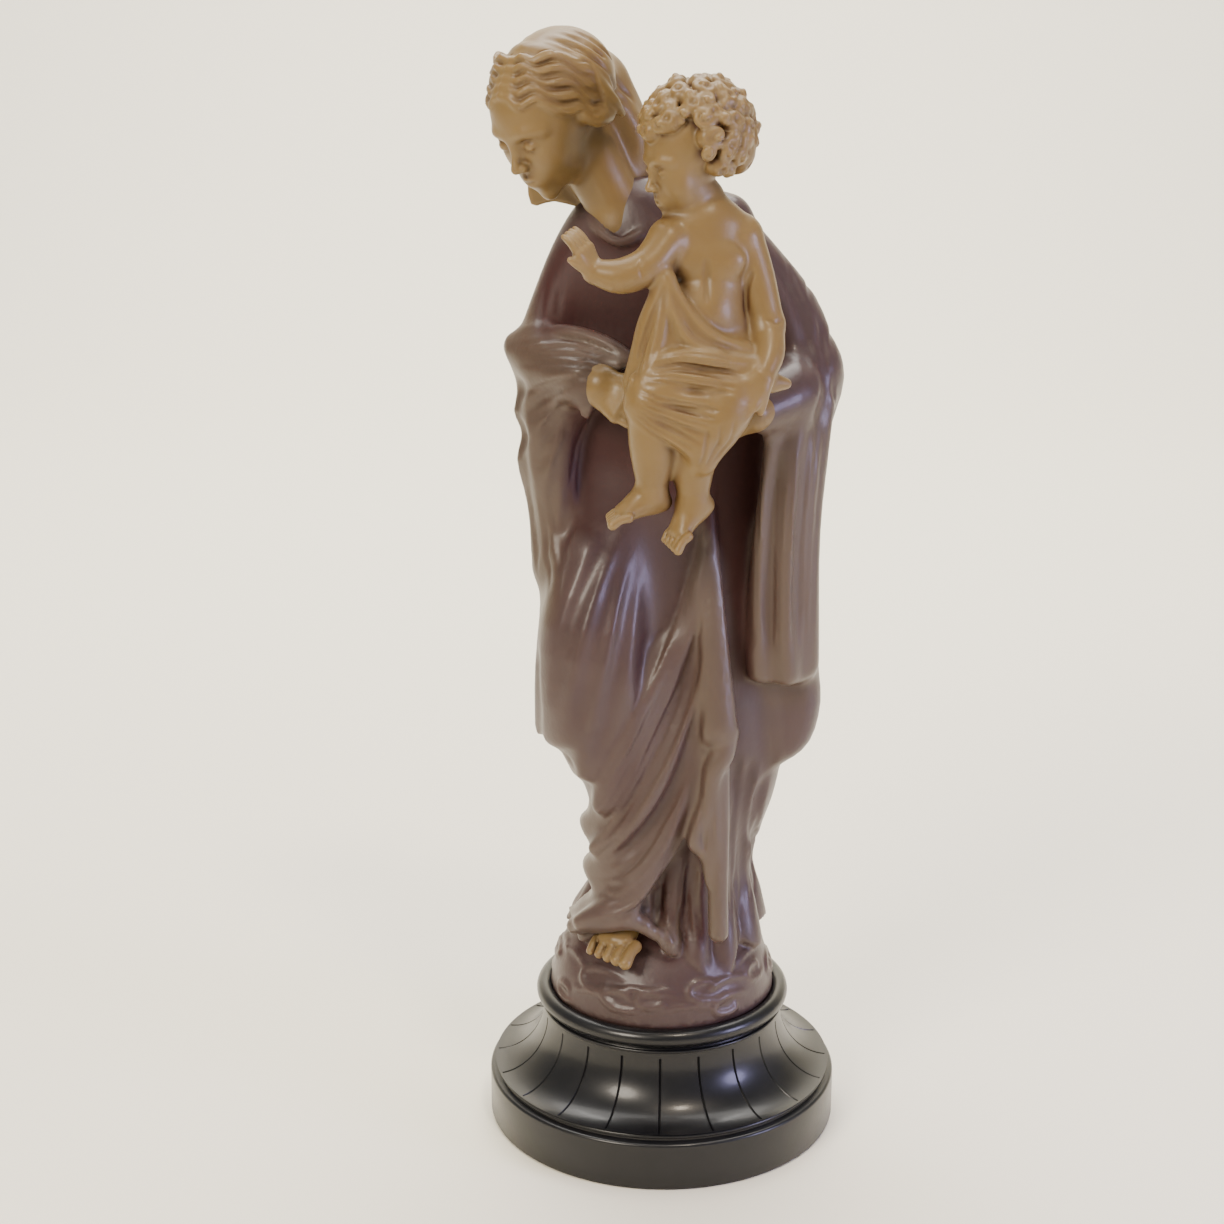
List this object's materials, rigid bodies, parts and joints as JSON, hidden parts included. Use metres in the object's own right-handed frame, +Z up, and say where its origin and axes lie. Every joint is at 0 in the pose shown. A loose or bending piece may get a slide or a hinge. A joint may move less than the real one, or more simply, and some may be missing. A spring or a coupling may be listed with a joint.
{
  "type": "virgin and child statue",
  "caption": "Standing robed mother with a bowed veiled head, holding a curly-haired child on her arm, cast in lilac and ivory resin on a round black turned plinth.",
  "frame": {"origin": "centre of the plinth's underside, on its turning axis", "axes": "+Z up along the plinth's axis, -Y towards the front of the statue, +X to the right of someone facing it"},
  "size_m": [0.1074, 0.1074, 0.3302],
  "materials": {
    "black_lacquer": "satin black moulded resin",
    "lilac_resin": "waxy translucent cast resin, lilac with maroon in the hollows",
    "ivory_resin": "waxy polished ivory cast resin"
  },
  "bodies": {
    "root": {"plinth": "black_lacquer", "robed_figure": "lilac_resin", "mother_head": "ivory_resin", "child": "ivory_resin", "right_hand": "ivory_resin", "left_hand": "ivory_resin", "foot": "ivory_resin"}
  },
  "joints": []
}
